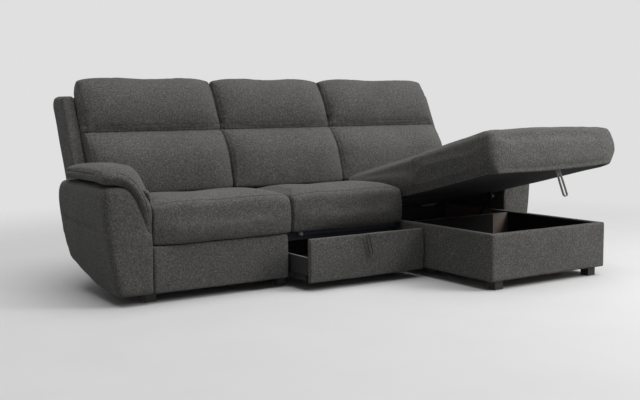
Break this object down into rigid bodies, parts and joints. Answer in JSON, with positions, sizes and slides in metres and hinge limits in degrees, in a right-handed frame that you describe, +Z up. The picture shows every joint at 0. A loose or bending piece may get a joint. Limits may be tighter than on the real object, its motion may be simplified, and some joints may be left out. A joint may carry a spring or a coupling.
{
  "type": "chaise sofa",
  "caption": "Upholstered chaise sofa with high creased back cushions, flared padded arms, a storage chaise under a hinged lid and a pull-out drawer under the middle seat.",
  "frame": {"origin": "on the floor, under the middle of the whole sofa's bounding box as stored, with the lid open and the drawer part way out", "axes": "+X along the sofa towards the chaise, +Y from the seats towards the back, +Z up"},
  "size_m": [2.608, 1.6915, 1.0264],
  "materials": {
    "grey_weave": "melange woven upholstery",
    "black_lining": "black spun lining",
    "loop_tape": "woven tape",
    "strap_webbing": "elastic webbing",
    "frame_wood": "raw board",
    "box_board": "bare particle board",
    "drawer_board": "dark foil board",
    "black_plastic": "moulded, matt",
    "pale_plastic": "moulded, satin",
    "bar_steel": "dark blue paint",
    "spring_steel": "drawn wire",
    "zinc_steel": "zinc plated",
    "strut_paint": "black paint",
    "rod_chrome": "polished"
  },
  "bodies": {
    "frame": {"arm_bolts": "zinc_steel", "back_cushion_centre": "grey_weave", "back_cushion_left": "grey_weave", "back_cushion_right": "grey_weave", "back_lower_rail": "frame_wood", "back_panel": "grey_weave", "back_posts": "frame_wood", "back_straps": "strap_webbing", "back_top_rail": "frame_wood", "bar_end_cap": "pale_plastic", "bay_divider": "frame_wood", "block_feet": "black_plastic", "chaise_cover": "grey_weave", "chaise_cross_board": "box_board", "chaise_floor_board": "box_board", "chaise_front_board": "box_board", "chaise_left_board": "box_board", "chaise_lining": "black_lining", "chaise_rear_board": "box_board", "chaise_right_board": "box_board", "drawer_bay_bar": "bar_steel", "dust_cover": "black_lining", "front_panel_left": "grey_weave", "hinge_base_leaves": "zinc_steel", "hinge_pins": "zinc_steel", "hinge_rail": "frame_wood", "left_arm_board": "frame_wood", "left_arm_body": "grey_weave", "left_arm_pad": "grey_weave", "left_back_wing": "grey_weave", "left_base_board": "frame_wood", "rear_base_board": "frame_wood", "right_arm_board": "frame_wood", "right_arm_body": "grey_weave", "right_arm_pad": "grey_weave", "right_back_wing": "grey_weave", "right_base_board": "frame_wood", "runner_fixed_rails": "zinc_steel", "seat_cushion_centre": "grey_weave", "seat_cushion_left": "grey_weave", "seat_front_rails": "frame_wood", "seat_rear_rails": "frame_wood", "seat_springs": "spring_steel", "strut_foot_studs": "zinc_steel"},
    "lid": {"lid_board": "frame_wood", "lid_lining": "black_lining", "chaise_cushion": "grey_weave", "lid_pull_loop": "loop_tape", "hinge_lid_leaves": "zinc_steel", "strut_lid_studs": "zinc_steel"},
    "strut_cylinder": {"strut_cylinders": "strut_paint"},
    "strut_rod": {"strut_rods": "rod_chrome"},
    "drawer": {"drawer_front": "grey_weave", "drawer_left_side": "drawer_board", "drawer_right_side": "drawer_board", "drawer_bottom": "drawer_board", "drawer_rear": "drawer_board", "drawer_pull_loop": "loop_tape", "runner_drawer_rails": "zinc_steel"},
    "runner_middle": {"runner_middle_rails": "zinc_steel"}
  },
  "joints": [
    {"name": "lid_hinge", "type": "hinge", "parent": "frame", "child": "lid", "pos_m": [0.701, 0.3967, 0.272], "axis": [-1, 0, 0], "range_deg": [-13.5, 0]},
    {"name": "strut_turn", "type": "hinge", "parent": "frame", "child": "strut_cylinder", "pos_m": [0.701, 0.1977, 0.11], "axis": [-1, 0, 0], "range_deg": [-15.74, 0]},
    {"name": "strut_slide", "type": "slide", "parent": "strut_cylinder", "child": "strut_rod", "axis": [0, -0.6685, 0.7437], "range_m": [-0.0595, 0]},
    {"name": "drawer_slide", "type": "slide", "parent": "frame", "child": "drawer", "axis": [0, -1, 0], "range_m": [-0.184, 0.236]},
    {"name": "runner_slide", "type": "slide", "parent": "frame", "child": "runner_middle", "axis": [0, -1, 0], "range_m": [-0.092, 0.118]}
  ],
  "couplings": [
    {"joint": "strut_turn", "follows": "lid_hinge", "ratio": 1.1625},
    {"joint": "strut_slide", "follows": "lid_hinge", "m_per_rad": 0.25164},
    {"joint": "runner_slide", "follows": "drawer_slide", "ratio": 0.5}
  ]
}
